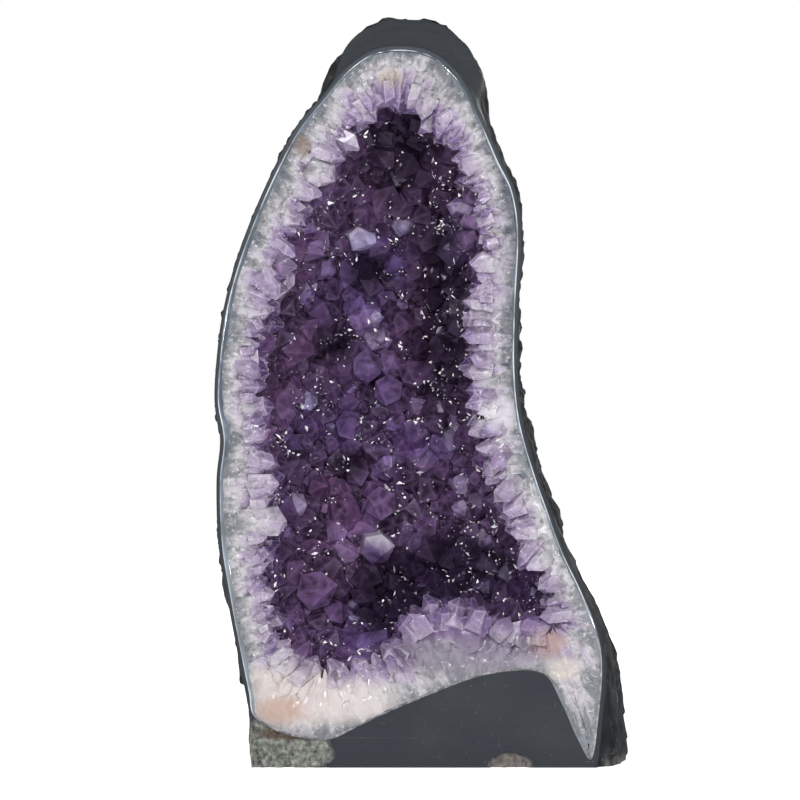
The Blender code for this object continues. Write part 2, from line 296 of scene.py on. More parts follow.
class Finish:
    """A material being put together. Each step returns what it made as (node, output)."""

    def __init__(self, name, roughness, ior=1.5):
        self.made = bpy.data.materials.new(name)
        self.made.use_nodes = True
        self.tree = self.made.node_tree
        self.shader = self.tree.nodes["Principled BSDF"]
        self.fixed(Roughness=roughness, IOR=ior)
        self.place = self.add("ShaderNodeTexCoord"), "Object"

    def fixed(self, **values):
        """Values that are the same all over, set on the shader's own sockets."""
        for key, value in values.items():
            self.shader.inputs[key.replace("_", " ")].default_value = value

    def add(self, kind, links=(), **settings):
        return node_in(self.tree, kind, links, **settings)

    def feed(self, socket, value):
        """Links a socket to a (node, output), or sets it to a number or a colour."""
        if isinstance(value, tuple) and isinstance(value[0], bpy.types.Node):
            self.tree.links.new(value[0].outputs[value[1]], socket)
        else:
            socket.default_value = (*value, 1) if isinstance(value, tuple) else value

    def set(self, socket, source):
        self.feed(self.shader.inputs[socket], source)

    def noise(self, scale, detail=4.0, distortion=0.0, stretch=None):
        source = self.place
        if stretch:
            source = self.add("ShaderNodeMapping", {"Vector": source}, Scale=stretch), "Vector"
        return self.add("ShaderNodeTexNoise", {"Vector": source}, Scale=scale, Detail=detail,
                        Distortion=distortion), "Fac"

    def field(self, name, output="Fac"):
        return self.add("ShaderNodeAttribute", attribute_name=name), output

    def along(self, axis):
        return self.add("ShaderNodeSeparateXYZ", {"Vector": self.place}), axis

    def spread(self, source, low, high, bottom=0.0, top=1.0):
        """What lies between low and high, spread from bottom to top."""
        return self.add("ShaderNodeMapRange", {"Value": source}, From_Min=low, From_Max=high,
                        To_Min=bottom, To_Max=top), "Result"

    def spot(self, x, z, wide, high, soft=0.35, ragged=0.5, scale=110, deep=30):
        """A ragged patch on the front, in millimetres: 1 inside it and 0 outside."""
        centred = self.add("ShaderNodeMapping", {"Vector": self.place},
                           Scale=(1000 / wide, 1000 / deep, 1000 / high),
                           Location=(-(x + SHIFT) / wide, -FRONT / MM / deep, -z / high))
        length = self.add("ShaderNodeVectorMath", {"Vector": (centred, "Vector")},
                          operation="LENGTH")
        frayed = self.math("MULTIPLY_ADD", self.noise(scale, 4), ragged, (length, "Value"))
        middle = 1 + ragged / 2
        return self.spread(frayed, middle + soft / 2, middle - soft / 2)

    def math(self, kind, *values):
        node = self.add("ShaderNodeMath", operation=kind)
        for socket, value in zip(node.inputs, values):
            self.feed(socket, value)
        return node, "Value"

    def ramp(self, source, stops):
        """A colour ramp. A stop's colour may be one number, for a grey."""
        node = self.add("ShaderNodeValToRGB", {0: source})
        while len(node.color_ramp.elements) < len(stops):
            node.color_ramp.elements.new(0.5)
        for element, (position, colour) in zip(node.color_ramp.elements, stops):
            element.position = position
            element.color = (*colour, 1) if isinstance(colour, tuple) else (colour,) * 3 + (1,)
        return node, "Color"

    def mix(self, factor, a, b, blend="MIX"):
        node = self.add("ShaderNodeMix", data_type="RGBA", blend_type=blend)
        for index, value in ((0, factor), (6, a), (7, b)):
            self.feed(node.inputs[index], value)
        return node, "Result"

    def bump(self, source, strength, distance):
        node = self.add("ShaderNodeBump", {"Height": source}, Strength=strength, Distance=distance)
        self.set("Normal", (node, "Normal"))


def rock_finish(look):
    """Dark basalt: smooth and dull where it was ground, coarse and grainy where it broke."""
    f = Finish("dark_basalt", 0.6)
    raw = f.field("raw")
    calm = f.math("SUBTRACT", 1.0, raw)
    coarse = f.noise(95, 6, 0.3)

    streak = f.noise(60, 3, 0.2, stretch=(0.25, 1, 6))
    smooth = f.ramp(streak, [(0.25, times(look.rock, 0.93)), (0.55, tuple(look.rock)),
                             (0.80, times(look.rock, 1.07))])
    height = f.ramp(f.spread(f.along("Z"), 0.06, 0.34),
                    [(0.0, (0.60, 0.61, 0.66)), (1.0, (1.22, 1.22, 1.20))])
    smooth = f.mix(1.0, smooth, height, "MULTIPLY")
    fluted = f.math("MULTIPLY_ADD", f.noise(210, 3, 0.2, stretch=(1, 1, 0.16)), 0.45,
                    f.math("MULTIPLY", coarse, 0.6))
    rough = f.ramp(fluted, [(0.38, (0.003, 0.004, 0.005)), (0.52, (0.010, 0.012, 0.015)),
                            (0.64, (0.026, 0.029, 0.033)), (0.76, (0.11, 0.11, 0.105))])
    body = f.mix(raw, smooth, rough)

    speck = f.ramp(f.noise(430, 3, 0.3, stretch=(1, 1, 0.4)), [(0.60, 0.0), (0.68, 0.75)])
    patchy = f.ramp(coarse, [(0.42, 0.15), (0.60, 1.0)])
    speckled = f.math("MULTIPLY", f.math("MULTIPLY", speck, raw), patchy)
    body = f.mix(speckled, body, (0.15, 0.15, 0.14))
    dusty = f.ramp(f.noise(22, 5, 0.4), [(0.45, 0.0), (0.75, 0.30)])
    body = f.mix(dusty, body, (0.050, 0.056, 0.056))
    scratch = f.ramp(f.noise(30, 2, 0.3, stretch=(0.12, 1, 34)), [(0.690, 0.0), (0.705, 0.22)])
    body = f.mix(f.math("MULTIPLY", scratch, calm), body, (0.12, 0.135, 0.145))
    pit = f.ramp(f.noise(430, 3, 0.2), [(0.66, 0.0), (0.74, 0.4)])
    body = f.mix(f.math("MULTIPLY", pit, calm), body, (0.11, 0.115, 0.12))

    crumb = f.ramp(f.noise(420, 8, 0.25),
                   [(0.30, (0.03, 0.036, 0.032)), (0.44, (0.105, 0.112, 0.100)),
                    (0.58, (0.185, 0.192, 0.170)), (0.74, (0.34, 0.335, 0.30))])
    for patch in BROKEN_CORNER:
        body = f.mix(f.spot(*patch[:4], 0.3, 0.7), body, crumb)
    body = f.mix(f.spot(-66, 17, 16, 3.4, 0.5, 0.8), body, (0.085, 0.062, 0.050))
    chipped = f.ramp(f.noise(210, 4), [(0.3, (0.06, 0.052, 0.050)), (0.7, (0.19, 0.17, 0.16))])
    body = f.mix(f.spot(*BASE_CHIP[:4], 0.2, 0.5, 220), body, chipped)
    body = f.mix(f.spot(105, 0, 10, 4, 0.8, 1.2, 200), body, chipped)

    f.set("Base Color", body)
    f.set("Roughness", f.ramp(raw, [(0.0, 0.55), (0.5, 0.70), (1.0, 0.85)]))
    f.fixed(Specular_IOR_Level=0.2)
    lumps = f.math("MULTIPLY", coarse, raw)
    f.bump(f.math("MULTIPLY_ADD", f.noise(420, 3), 0.16, lumps), 0.9, 0.0014)
    return f.made


def agate_finish(look):
    """Polished blue-grey agate, banded finely along the rim, gritty where it is worn."""
    f = Finish("polished_agate", 0.09, 1.54)
    bands = f.math("SINE", f.math("MULTIPLY", f.field("across"), 34.0), 0.0)
    mixed = f.math("MULTIPLY_ADD", bands, 0.05, f.noise(38, 6, 0.8))
    colour = f.ramp(mixed, [(0.30, times(look.agate, 0.5)), (0.50, tuple(look.agate)),
                            (0.66, times(look.agate, 1.9)), (0.82, (0.42, 0.42, 0.40))])
    # A pale line along the polished edge: a painted highlight, strongest on the left and right sides
    lit = f.mix(f.field("shine"), colour, (0.78, 0.82, 0.88))
    grit = f.ramp(f.noise(300, 5, 0.5), [(0.35, (0.030, 0.028, 0.030)),
                                         (0.52, (0.12, 0.115, 0.125)),
                                         (0.68, (0.30, 0.28, 0.28))])
    f.set("Base Color", f.mix(f.field("worn"), lit, grit))
    f.fixed(Coat_Weight=0.8, Coat_Roughness=0.05)
    f.bump(f.noise(70, 3), 0.10, 0.0008)
    return f.made


# Stains on the quartz: x, z, half width and half height in millimetres, and colour
STAINS = [
    (-64, 37, 27, 15, (0.50, 0.44, 0.41)), (-71, 29, 12, 6, (0.34, 0.22, 0.17)),
    (-34, 33, 20, 10, (0.50, 0.45, 0.44)), (62, 62, 9, 7, (0.38, 0.23, 0.16)),
    (70, 50, 8, 6, (0.46, 0.41, 0.36)), (22, 58, 46, 11, (0.115, 0.09, 0.14)),
    (22, 73, 48, 8, (0.12, 0.06, 0.18)), (-60, 311, 4, 6, (0.17, 0.12, 0.10)),
    (-16, 345, 6, 5, (0.30, 0.26, 0.20)),
]


def quartz_finish(look, name="sawn_quartz", start=0.0, reach=0.8, stain=0.75):
    """Quartz: cloudy grey-white at the root, lilac further on, purple at the tip."""
    f = Finish(name, 0.22, 1.54)
    veil = f.noise(85, 6, 1.0)
    fine = f.noise(330, 5, 0.6)
    fibre = f.add("ShaderNodeTexNoise", {"Vector": f.field("fan", "Vector")}, Scale=1.0,
                  Detail=5.0, Distortion=0.5), "Fac"
    shifted = f.spread(f.along("Y"), FRONT + 5 * MM, FRONT + 24 * MM, start - 0.70, start - 0.25)
    for source, share in ((f.field("grow"), reach), (veil, 0.55), (f.field("tone"), 0.34),
                          (fibre, 0.50)):
        shifted = f.math("MULTIPLY_ADD", source, share, shifted)
    colour = f.ramp(shifted, [(0.0, (0.12, 0.13, 0.15)), (0.14, (0.22, 0.22, 0.24)),
                              (0.30, (0.39, 0.375, 0.40)), (0.48, tuple(look.quartz)),
                              (0.68, (0.25, 0.185, 0.31)), (0.86, (0.145, 0.09, 0.215)),
                              (1.0, (0.08, 0.04, 0.13))])
    mottle = f.ramp(fine, [(0.32, 0.40), (0.50, 0.86), (0.66, 1.0)])
    body = f.mix(0.85, colour, mottle, "MULTIPLY")
    fleck = f.ramp(f.noise(620, 2, 0.5), [(0.62, 0.0), (0.70, 0.5)])
    body = f.mix(fleck, body, (0.60, 0.58, 0.64))
    # Pale along the column seams, and painted highlights along the facet edges of the rim crystals
    edge = f.ramp(f.field("inset"), [(0.0, 0.60), (0.10, 0.25), (0.35, 0.0)])
    body = f.mix(f.math("MULTIPLY", edge, veil), body, (0.62, 0.56, 0.68))
    milky = f.math("MULTIPLY", f.spot(37, 177, 9, 7, 0.9, 0.9), 0.6)
    body = f.mix(milky, body, (0.66, 0.65, 0.68))
    for x, z, wide, high, shade in STAINS:
        share = f.math("MULTIPLY", f.spot(x, z, wide, high, 0.7, 0.7), stain)
        body = f.mix(share, body, shade)
    dim = f.spot(46, 245, 7, 80, 0.9, 0.7)
    f.set("Base Color", f.mix(dim, body, (0.70, 0.69, 0.76), "MULTIPLY"))
    f.set("Roughness", f.ramp(veil, [(0.3, 0.16), (0.7, 0.42)]))
    f.fixed(Subsurface_Weight=0.35, Subsurface_Radius=(0.9, 0.8, 1.0), Subsurface_Scale=0.003,
            Coat_Weight=0.20, Coat_Roughness=0.10)
    f.bump(fine, 0.35, 0.0007)
    return f.made


# Painted shade in the dark places of the hollow: x, z, half width and half height in millimetres
PAINTED_SHADE_SPOTS = [(-8, 316, 26, 25), (12, 232, 17, 62), (-16, 84, 22, 24), (24, 98, 28, 18),
         (-30, 254, 14, 10), (-46, 214, 12, 9), (-38, 150, 10, 8)]


def amethyst_finish(name, look, depth):
    """Glassy amethyst with painted edge highlights. depth, 0 to 1, deepens the painted shade in dark
    places.
    """
    f = Finish(name, 0.2, 1.55)
    veil = f.noise(120, 6, 1.4)
    # Tones near 1 turn pale: paler crystals, and on the palest, painted glints
    colour = f.ramp(f.field("tone"), [(0.0, times(look.amethyst, 0.28)),
                                      (0.35, times(look.amethyst, 0.65)),
                                      (0.72, tuple(look.amethyst)), (0.93, (0.20, 0.13, 0.29)),
                                      (1.0, (0.50, 0.45, 0.60))])
    hue = f.ramp(f.noise(16, 2, 0.3), [(0.36, (0.84, 0.86, 1.10)), (0.50, 1.0),
                                       (0.64, (1.12, 0.97, 0.93))])
    body = f.mix(0.9, colour, hue, "MULTIPLY")
    zoned = f.ramp(f.math("MULTIPLY_ADD", veil, 0.5, f.field("grow")),
                   [(0.45, 0.70), (0.85, 1.0), (1.30, 0.85)])
    body = f.mix(1.0, body, zoned, "MULTIPLY")
    shade = f.ramp(f.noise(75, 4, 2.0), [(0.33, 0.30), (0.50, 0.90), (0.68, 1.55)])
    body = f.mix(1.0, body, shade, "MULTIPLY")
    cloudy = f.ramp(veil, [(0.54, 0.0), (0.80, 0.45)])
    body = f.mix(cloudy, body, (0.17, 0.11, 0.25))
    # Pale facet edges: painted highlights along the crystals' edges
    edge = f.ramp(f.field("inset"), [(0.0, 0.40), (0.30, 0.20), (0.85, 0.0)])
    body = f.mix(f.math("MULTIPLY", edge, veil), body, (0.30, 0.20, 0.38))
    # Darkens the dark places almost to black: painted shade
    for place in PAINTED_SHADE_SPOTS:
        painted_shade = f.spot(*place, 1.0, 0.9, 70, 1000)
        body = f.mix(f.math("MULTIPLY", painted_shade, 0.78 + 0.15 * depth), body, (0.008, 0.005, 0.011))
    f.set("Base Color", body)
    f.set("Roughness", f.ramp(veil, [(0.35, 0.16), (0.75, 0.40)]))
    f.fixed(Specular_IOR_Level=0.13, Specular_Tint=(0.80, 0.66, 0.95, 1))
    f.bump(f.noise(520, 3), 0.45, 0.0005)
    return f.made


def spark_finish():
    """Tiny slivers, from dark to near white: tiny crystals, and in the palest, painted glints with a
    slight glow of their own.
    """
    f = Finish("spark_crystal", 0.12, 1.55)
    tone = f.field("tone")
    f.set("Base Color", f.ramp(tone, [(0.0, (0.10, 0.07, 0.14)), (0.55, (0.30, 0.25, 0.34)),
                                      (0.75, (0.80, 0.77, 0.80)), (1.0, (0.95, 0.93, 0.94))]))
    # A slight painted glow on the palest slivers
    f.set("Emission Color", f.ramp(tone, [(0.60, 0.0), (0.80, (1, 0.97, 1))]))
    f.fixed(Coat_Weight=1.0, Emission_Strength=0.35)
    return f.made


def cloudy_finish(low, high):
    """A pale milky crystal that turns purple downward, between two heights in millimetres."""
    f = Finish("cloudy_crystal", 0.3, 1.55)
    rise = f.spread(f.along("Z"), low * MM, high * MM)
    mixed = f.math("MULTIPLY_ADD", f.noise(110, 5, 1.2), 1.1, rise)
    colour = f.ramp(f.math("MULTIPLY", mixed, 0.6),
                    [(0.28, (0.045, 0.022, 0.075)), (0.48, (0.13, 0.085, 0.19)),
                     (0.66, (0.27, 0.22, 0.32)), (0.86, (0.42, 0.39, 0.45))])
    f.set("Base Color", colour)
    f.fixed(Coat_Weight=0.2)
    return f.made


# Crystals


def domed(work, rise):
    """Raises the middle of each facet a little and keeps the edges between facets sharp."""
    inset = work.verts.layers.float.get("inset") or work.verts.layers.float.new("inset")
    for edge in work.edges:
        edge.smooth = False
    facets = [face for face in work.faces if face.calc_area() > 0]
    poked = bmesh.ops.poke(work, faces=facets, offset=rise, center_mode="MEAN")
    for v in poked["verts"]:
        v[inset] = 1
    for face in work.faces:
        face.smooth = True


def crystal_template(name, draw, shaft, point, skew, uneven):
    """A six-sided crystal of unit radius, root at z = 0, ending in a short ridge."""
    work = bmesh.new()
    grow = work.verts.layers.float.new("grow")
    height = shaft + point
    root, shoulder = [], []
    for k in range(6):
        angle = k * math.pi / 3
        wide = 1 + draw.uniform(-uneven, uneven)
        x, y = math.cos(angle) * wide, math.sin(angle) * wide
        root.append(work.verts.new((x, y, 0)))
        lift = (0.14 if k % 2 else -0.14) + draw.uniform(-0.12, 0.12)
        shoulder.append(work.verts.new((x * 0.96, y * 0.96, shaft + lift * point)))
    x, y = draw.uniform(-skew, skew), draw.uniform(-skew, skew)
    near = work.verts.new((x + 0.10, y + 0.16, height))
    far = work.verts.new((x - 0.10, y - 0.16, height - draw.uniform(0, 0.12) * point))
    for v in shoulder:
        v[grow] = shaft / height
    near[grow] = far[grow] = 1
    work.faces.new(root[::-1])
    for k in range(6):
        n = (k + 1) % 6
        work.faces.new((root[k], root[n], shoulder[n], shoulder[k]))
    s = shoulder
    for facet in ((s[0], s[1], near), (s[1], s[2], near), (s[2], s[3], far, near),
                  (s[3], s[4], far), (s[4], s[5], far), (s[5], s[0], near, far)):
        work.faces.new(facet)
    domed(work, 0.06)
    bmesh.ops.triangulate(work, faces=[face for face in work.faces if len(face.verts) > 3])
    return bpy.data.objects.new(name, mesh_of(work, name))


def crystal_kinds(name, seed, shaft, point, skew, uneven, count):
    """A collection of crystals of one habit, outside the scene.

    shaft and point give the least and most length of each, in radii.
    """
    draw = random.Random(seed)
    kinds = bpy.data.collections.new(name)
    for number in range(count):
        kinds.objects.link(crystal_template(f"{name}_{number}", draw, draw.uniform(*shaft),
                                            draw.uniform(*point), skew, uneven))
    return kinds


def flake_kinds(name, seed, count):
    """A collection of tiny bent slivers that lie on what they grow on, outside the scene."""
    draw = random.Random(seed)
    kinds = bpy.data.collections.new(name)
    for number in range(count):
        long, wide, bend = draw.uniform(0.9, 2.2), draw.uniform(0.45, 0.8), draw.uniform(-0.9, 0.9)
        places = [(-long, bend * 0.6, 0.1), (0, wide, 0.1), (0.1, 0, 0.5), (0, -wide, 0.1),
                  (0, 0, -0.3), (long * draw.uniform(0.6, 1.0), bend, 0.2)]
        faces = []
        for a, b in ((1, 2), (2, 3), (3, 4), (4, 1)):
            faces += [(0, a, b), (5, b, a)]
        mesh = bpy.data.meshes.new(f"{name}_{number}")
        mesh.from_pydata(places, [], faces)
        work = bmesh.new()
        work.from_mesh(mesh)
        bmesh.ops.recalc_face_normals(work, faces=work.faces[:])
        work.to_mesh(mesh)
        work.free()
        kinds.objects.link(bpy.data.objects.new(mesh.name, mesh))
    return kinds


def lone_crystals(name, beds, wanted):
    """Single crystals at chosen spots: x, z, radius and length in millimetres, aim, tone, depth.

    One whose depth is None stands on the bed behind its spot.
    """
    hit = BVHTree.FromPolygons([v.co for v in beds.vertices], [p.vertices for p in beds.polygons])
    work = bmesh.new()
    for number, (x, z, radius, length, aim, tone, depth) in enumerate(wanted):
        if depth is None:
            spot = hit.ray_cast(Vector(one_place(x, z, -50)), Vector((0, 1, 0)))[0]
        else:
            spot = Vector(one_place(x, z, depth))
        draw = random.Random(100 + number)
        point = draw.uniform(0.5, 0.8)
        crystal = crystal_template(name, draw, length / radius - point, point, 0.35, 0.14)
        mesh = crystal.data
        turn = Vector(aim).to_track_quat("Z", "Y").to_matrix().to_4x4()
        spin = Matrix.Rotation(draw.uniform(0, math.tau), 4, "Z")
        mesh.transform(Matrix.Translation(spot) @ turn @ spin @ Matrix.Scale(radius * MM, 4))
        shade = mesh.attributes.new("tone", "FLOAT", "POINT")
        # Tone varies from point to point so that some facets come out brighter than others: on the
        # palest crystals, painted glints
        shade.data.foreach_set("value", [tone - draw.uniform(0, 0.12) * tone ** 3
                                         for _ in mesh.vertices])
        work.from_mesh(mesh)
        bpy.data.objects.remove(crystal)
        bpy.data.meshes.remove(mesh)
    return shown(name, mesh_of(work, name))


def growth_tree(name, kinds, finish, patchy=None):
    """Crystals of these kinds growing out of a surface: a node group with named sizes.

    patchy gives the two noise values between which they thicken. They then thin out upward too.
    """
    tree = bpy.data.node_groups.new(name, "GeometryNodeTree")
    sockets = tree.interface
    for way in ("INPUT", "OUTPUT"):
        sockets.new_socket("Geometry", in_out=way, socket_type="NodeSocketGeometry")
    for label, value in (("Spacing", 0.01), ("Smallest", 0.004), ("Largest", 0.008),
                         ("Lean", 0.3), ("Sink", 0.002)):
        made = sockets.new_socket(label, in_out="INPUT", socket_type="NodeSocketFloat")
        made.default_value = value
    sockets.new_socket("Seed", in_out="INPUT", socket_type="NodeSocketInt").default_value = 1

    def add(kind, links=(), **settings):
        return node_in(tree, kind, links, **settings)

    def math_on(kind, source, value):
        node = add("ShaderNodeMath", {0: source}, operation=kind)
        node.inputs[1].default_value = value
        return node, 0

    def chance(kind, low, high, salt):
        """A random value for each crystal. The salt keeps it apart from the other values."""
        return add("FunctionNodeRandomValue", {"Seed": math_on("ADD", (given, "Seed"), salt)},
                   data_type=kind, Min=low, Max=high), "Value"

    given, result = add("NodeGroupInput"), add("NodeGroupOutput")
    scatter = add("GeometryNodeDistributePointsOnFaces",
                  {"Mesh": (given, "Geometry"), "Distance Min": (given, "Spacing"),
                   "Seed": (given, "Seed")}, distribute_method="POISSON", Density_Max=2.0e6)
    if patchy:
        thick = add("ShaderNodeMapRange", {"Value": (add("ShaderNodeTexNoise", Scale=90), "Fac")},
                    From_Min=patchy[0], From_Max=patchy[1])
        parts = add("ShaderNodeSeparateXYZ", {0: (add("GeometryNodeInputPosition"), 0)})
        fewer = add("ShaderNodeMapRange", {"Value": (parts, "Z")}, From_Min=0.34, From_Max=0.29,
                    To_Min=0.05)
        both = add("ShaderNodeMath", {0: (fewer, "Result"), 1: (thick, "Result")},
                   operation="MULTIPLY")
        tree.links.new(both.outputs[0], scatter.inputs["Density Factor"])

    jitter = add("ShaderNodeVectorMath",
                 {0: chance("FLOAT_VECTOR", (-1, -1, -1), (1, 1, 1), 17),
                  "Scale": (given, "Lean")}, operation="SCALE")
    bent = add("ShaderNodeVectorMath", {0: (scatter, "Normal"), 1: (jitter, 0)}, operation="ADD")
    upright = add("FunctionNodeAlignRotationToVector", {"Vector": (bent, 0)}, axis="Z")
    turn = add("ShaderNodeCombineXYZ", {"Z": chance("FLOAT", 0.0, math.tau, 29)})
    spun = add("FunctionNodeRotateRotation", {0: (upright, 0), 1: (turn, 0)},
               rotation_space="LOCAL")
    size = add("ShaderNodeMapRange",
               {"Value": math_on("POWER", chance("FLOAT", 0.0, 1.0, 41), 1.6),
                "To Min": (given, "Smallest"), "To Max": (given, "Largest")})
    down = add("ShaderNodeVectorMath",
               {0: (scatter, "Normal"), "Scale": math_on("MULTIPLY", (given, "Sink"), -1)},
               operation="SCALE")
    sunk = add("GeometryNodeSetPosition", {"Geometry": (scatter, "Points"), "Offset": (down, 0)})
    pool = add("GeometryNodeCollectionInfo", Collection=kinds, Separate_Children=True,
               Reset_Children=True)
    planted = add("GeometryNodeInstanceOnPoints",
                  {"Points": (sunk, 0), "Instance": (pool, 0), "Rotation": (spun, 0),
                   "Scale": (size, "Result")}, Pick_Instance=True)
    toned = add("GeometryNodeStoreNamedAttribute",
                {"Geometry": (planted, 0), "Value": chance("FLOAT", 0.0, 1.0, 53)},
                domain="INSTANCE", data_type="FLOAT", Name="tone")
    real = add("GeometryNodeRealizeInstances", {0: (toned, 0)})
    coat = add("GeometryNodeSetMaterial", {0: (real, 0)}, Material=finish)
    tree.links.new(coat.outputs[0], result.inputs[0])
    return tree


def grow_on(name, bed, tree, **sizes):
    """Runs a growth tree on a bed and returns its crystals as a plain mesh object."""
    holder = shown(name + "_bed", bed)
    modifier = holder.modifiers.new("growth", "NODES")
    modifier.node_group = tree
    sockets = {item.name: item.identifier for item in tree.interface.items_tree
               if item.in_out == "INPUT"}
    for label, value in sizes.items():
        modifier[sockets[label.capitalize()]] = value
    graph = bpy.context.evaluated_depsgraph_get()
    mesh = bpy.data.meshes.new_from_object(holder.evaluated_get(graph))
    bpy.data.objects.remove(holder)
    mesh.name = name
    return shown(name, mesh)


def sawn_flush(piece):
    """Cuts off what stands out of the sawn face, just behind the agate's front."""
    work = bmesh.new()
    work.from_mesh(piece.data)
    cut_off(work, (0, FRONT + 0.15 * MM, 0), (0, -1, 0))
    work.to_mesh(piece.data)
    work.free()


# The layers' outlines, in millimetres
RIM = curve_through(RIM_SIDES + RIM_FOOT + RIM_ARCH + RIM_SOLE, 12)
QUARTZ_RIM = grown(curve_through(RIM_SIDES + SHORT_FOOT + RIM_ARCH + RIM_SOLE, 12), -3.4)
MOUTH_CURVE = curve_through(MOUTH, 16)


def facing(outer, inner):
    """For each point of the outer curve, the point of the inner one that faces it, in order."""
    many, wide = 3000, 21
    dense = evenly(inner, many)
    nearest = np.argmin(((outer[:, None, :2] - dense[None, :, :2]) ** 2).sum(axis=2), axis=1)
    steps = np.unwrap(nearest / many * 2 * math.pi) / (2 * math.pi) * many
    steps = np.maximum.accumulate(steps)
    padded = np.concatenate([steps[-wide:] - many, steps, steps[:wide] + many])
    steps = np.convolve(padded, np.ones(wide) / wide, mode="same")[wide:-wide]
    return dense[np.round(steps).astype(int) % many]


def teeth(length, draw, width, height):
    """Heights of a row of triangular teeth, at each millimetre along a run of that length."""
    out = np.zeros(length)
    at = 0.0
    while at < length:
        wide, high = draw.uniform(*width), draw.uniform(*height)
        peak = at + wide * draw.uniform(0.35, 0.65)
        here = np.arange(math.ceil(at), min(length, math.ceil(at + wide)))
        rise = np.where(here < peak, (here - at) / (peak - at),
                        (at + wide - here) / (at + wide - peak))
        out[here] = high * np.clip(rise * 1.3, 0, 1)
        at += wide
    return out


def columns(along, across, run, draw, wide=6.0, long=13.0):
    """The quartz column that each spot lies in.

    Returns its number, how far the spot is from its seam, how far the spot is from its middle
    along and across, and how many columns there are.
    """
    seeds = []
    for k in range(int(run / wide)):
        for row in range(3):
            seeds.append((k * wide + draw.uniform(0, wide), (row + draw.uniform(-0.1, 0.9)) * long))
    seeds = np.array(seeds)
    number = np.zeros(len(along), int)
    seam = np.zeros(len(along))
    batch = 4000
    for start in range(0, len(along), batch):
        some = slice(start, start + batch)
        gap = (along[some, None] - seeds[None, :, 0] + run / 2) % run - run / 2
        far = np.sqrt((gap / wide) ** 2 + ((across[some, None] - seeds[None, :, 1]) / long) ** 2)
        order = np.argpartition(far, 1, axis=1)[:, :2]
        two = np.take_along_axis(far, order, axis=1)
        first = np.argmin(two, axis=1)
        number[some] = np.take_along_axis(order, first[:, None], axis=1)[:, 0]
        seam[some] = np.abs(two[:, 0] - two[:, 1])
    beside = (along - seeds[number, 0] + run / 2) % run - run / 2
    return number, seam, beside, across - seeds[number, 1], len(seeds)


def bowl_rings(curve, depth, count, front=0.0):
    """Rings from the curve at the front back towards the pole at that depth."""
    rings = []
    for angle in angles(count):
        shape, back = section(curve, angle)
        rings.append(placed(shape, front + (depth - front) * back))
    return rings


def rock_relief(place, depth, raw):
    """How far a place on the rock stands out, in millimetres, where raw is 1 on broken rock."""
    lump = noise.noise(place / 0.030) * 2.0 + noise.noise(place / 0.012) * 1.6
    chips = (0.45 - noise.voronoi(place / 0.0065)[0][0]) * 2.4 + noise.noise(place / 0.0045) * 1.5
    blocks = noise.voronoi(place / 0.024)[0]
    broken = (blocks[1] - blocks[0] - 0.35) * 7.5 * min(1, max(0, depth - 18) / 30)
    broken *= raw
    high = lump * min(1, depth / 30) * 0.8 + chips * raw * 0.95 + broken
    high += (1 - raw) * noise.noise(place / 0.004) * 0.08
    return high - 0.9 * raw


def rock_outside():
    """The rock's outside: ground smooth at its front edge and its top, jagged further back."""
    count, bevel, belly = 600, 2.2, 40
    edge = evenly(curve_through(ROCK_EDGE, 16), count)
    swell = edge[:, 2]
    out = outward(edge)
    rings = [placed(edge[:, :2] - out * 1.1, ROCK_FACE)]
    for turn in (math.pi / 6, math.pi / 3, math.pi / 2):
        rings.append(placed(edge[:, :2] + out * (math.sin(turn) * 1.2 - 1.1),
                            ROCK_FACE + bevel * (1 - math.cos(turn))))
    steep = 1 - 0.6 * smoothstep(70, 15, edge[:, 1]) * smoothstep(40, 70, edge[:, 0])
    behind = ROCK_FACE + bevel
    for share in np.linspace(0, 1, 17)[1:]:
        rings.append(placed(edge[:, :2] + out * (0.1 + swell * share ** steep)[:, None],
                            behind + share * (belly - behind)))
    girth = edge[:, :2] + out * swell[:, None]
    for angle in angles(112)[1:]:
        shape, back = section(girth, angle)
        rings.append(placed(shape, belly + back * (ROCK_DEPTH - belly)))
    places = np.array(rings)
    depth = (places[:, :, 1] - FRONT) / MM
    ground = smoothstep(5, 13, swell) * smoothstep(150, 250, edge[:, 1])
    start = 0.8 + 34 * ground[None, :]
    raw = smoothstep(start, start + 3, depth)
    middle = Vector(((MIDDLE[0] + SHIFT) * MM, 0.0, MIDDLE[1] * MM))
    for r in range(3, len(rings)):
        for i in range(count):
            place = Vector(places[r, i])
            away = (place - middle).normalized()
            places[r, i] += np.array(away) * rock_relief(place, depth[r, i], raw[r, i]) * MM
    return places, raw


def face_between(outer, inner, spots):
    """Triangles that fill the sawn face between two loops of points and face the front."""
    names = [*outer, *inner]
    flat = [[Vector((spots[n][0], spots[n][2], 0)) for n in loop] for loop in (outer, inner)]
    corners = flat[0] + flat[1]
    faces = []
    for a, b, c in tessellate_polygon(flat):
        across, along = corners[b] - corners[a], corners[c] - corners[a]
        face = [names[a], names[b], names[c]]
        faces.append(face if across.cross(along).z > 0 else face[::-1])
    return faces


def rock_shape():
    """The rock as one closed shell: its outside, the cup for the layers and the face between."""
    places, raw = rock_outside()
    rings, count = places.shape[:2]
    spots = places.reshape(-1, 3).tolist() + [pole_at(ROCK_DEPTH - 1)]
    faces = ring_faces(rings, count).tolist() + fan((rings - 1) * count, count, len(spots) - 1)
    raw = raw.reshape(-1).tolist() + [1.0]

    start, turns = len(spots), len(RIM)
    cup = [placed(RIM, ROCK_FACE)] + bowl_rings(RIM, CUP_DEPTH, 10, ROCK_FACE)[1:]
    spots += np.array(cup).reshape(-1, 3).tolist() + [pole_at(CUP_DEPTH)]
    faces += (ring_faces(len(cup), turns)[:, ::-1] + start).tolist()
    faces += fan(start + (len(cup) - 1) * turns, turns, len(spots) - 1, inward=True)
    raw += [0.0] * (len(spots) - start)
    faces += face_between(range(count), range(start, start + turns), spots)
    return spots, faces, raw


